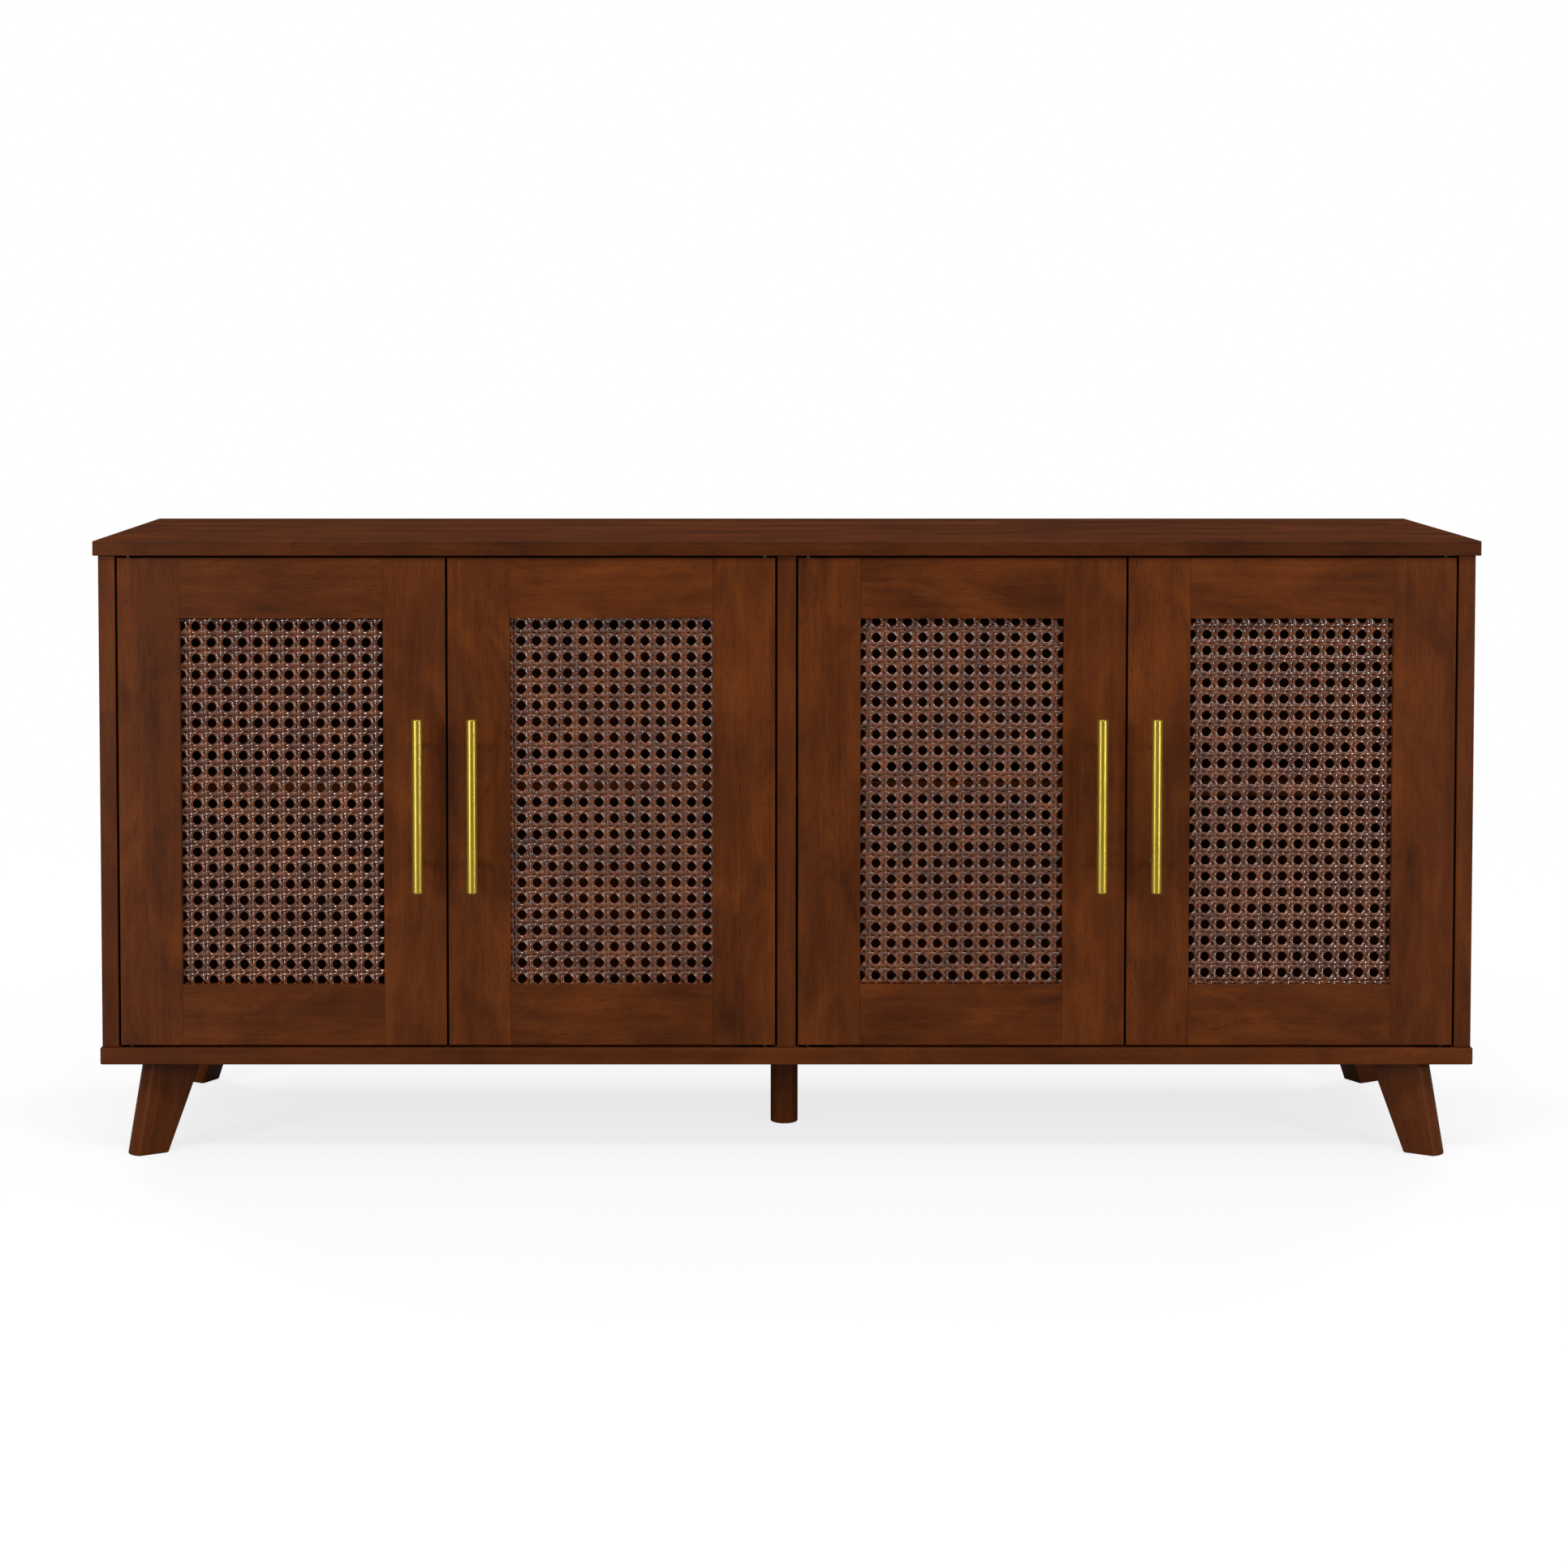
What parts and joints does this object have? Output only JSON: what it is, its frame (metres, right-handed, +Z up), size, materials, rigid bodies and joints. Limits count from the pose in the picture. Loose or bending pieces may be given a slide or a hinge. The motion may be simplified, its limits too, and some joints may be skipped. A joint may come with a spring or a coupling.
{
  "type": "sideboard buffet",
  "caption": "Low sideboard with inset framed doors of woven cane, brass bar pulls, overhanging top and splayed tapered legs.",
  "frame": {"origin": "on the floor, below the centre of the whole outline, pulls included", "axes": "+X along the length to the right of someone facing the doors, +Y from the doors to the back, +Z up"},
  "size_m": [1.5, 0.431, 0.675],
  "materials": {
    "stained_wood": "reddish brown stain under satin lacquer",
    "carcass_board": "stained board, satin",
    "woven_cane": "stained and glossy woven cane",
    "polished_brass": "polished",
    "hinge_steel": "plated steel",
    "brown_plastic": "moulded"
  },
  "bodies": {
    "case": {"top_panel": "stained_wood", "base_panel": "stained_wood", "side_panel_left": "stained_wood", "side_panel_right": "stained_wood", "centre_divider": "stained_wood", "back_panel": "carcass_board", "shelf_left": "carcass_board", "shelf_right": "carcass_board", "catch_left": "brown_plastic", "catch_right": "brown_plastic", "leg_front_left": "stained_wood", "leg_front_right": "stained_wood", "leg_rear_left": "stained_wood", "leg_rear_right": "stained_wood", "leg_middle": "stained_wood", "door_1_top_socket": "hinge_steel", "door_1_bottom_socket": "hinge_steel", "door_2_top_socket": "hinge_steel", "door_2_bottom_socket": "hinge_steel", "door_3_top_socket": "hinge_steel", "door_3_bottom_socket": "hinge_steel", "door_4_top_socket": "hinge_steel", "door_4_bottom_socket": "hinge_steel"},
    "door_1": {"door_1_hinge_stile": "stained_wood", "door_1_pull_stile": "stained_wood", "door_1_top_rail": "stained_wood", "door_1_bottom_rail": "stained_wood", "door_1_cane": "woven_cane", "door_1_pull": "polished_brass", "door_1_top_pivot": "hinge_steel", "door_1_bottom_pivot": "hinge_steel", "door_1_strike": "hinge_steel"},
    "door_2": {"door_2_hinge_stile": "stained_wood", "door_2_pull_stile": "stained_wood", "door_2_top_rail": "stained_wood", "door_2_bottom_rail": "stained_wood", "door_2_cane": "woven_cane", "door_2_pull": "polished_brass", "door_2_top_pivot": "hinge_steel", "door_2_bottom_pivot": "hinge_steel", "door_2_strike": "hinge_steel"},
    "door_3": {"door_3_hinge_stile": "stained_wood", "door_3_pull_stile": "stained_wood", "door_3_top_rail": "stained_wood", "door_3_bottom_rail": "stained_wood", "door_3_cane": "woven_cane", "door_3_pull": "polished_brass", "door_3_top_pivot": "hinge_steel", "door_3_bottom_pivot": "hinge_steel", "door_3_strike": "hinge_steel"},
    "door_4": {"door_4_hinge_stile": "stained_wood", "door_4_pull_stile": "stained_wood", "door_4_top_rail": "stained_wood", "door_4_bottom_rail": "stained_wood", "door_4_cane": "woven_cane", "door_4_pull": "polished_brass", "door_4_top_pivot": "hinge_steel", "door_4_bottom_pivot": "hinge_steel", "door_4_strike": "hinge_steel"}
  },
  "joints": [
    {"name": "door_1_hinge", "type": "hinge", "parent": "case", "child": "door_1", "pos_m": [-0.7135, -0.1735, 0.122], "axis": [0, 0, -1], "range_deg": [0, 105]},
    {"name": "door_2_hinge", "type": "hinge", "parent": "case", "child": "door_2", "pos_m": [-0.0235, -0.1735, 0.122], "axis": [0, 0, 1], "range_deg": [0, 85]},
    {"name": "door_3_hinge", "type": "hinge", "parent": "case", "child": "door_3", "pos_m": [0.0235, -0.1735, 0.122], "axis": [0, 0, -1], "range_deg": [0, 85]},
    {"name": "door_4_hinge", "type": "hinge", "parent": "case", "child": "door_4", "pos_m": [0.7135, -0.1735, 0.122], "axis": [0, 0, 1], "range_deg": [0, 105]}
  ]
}
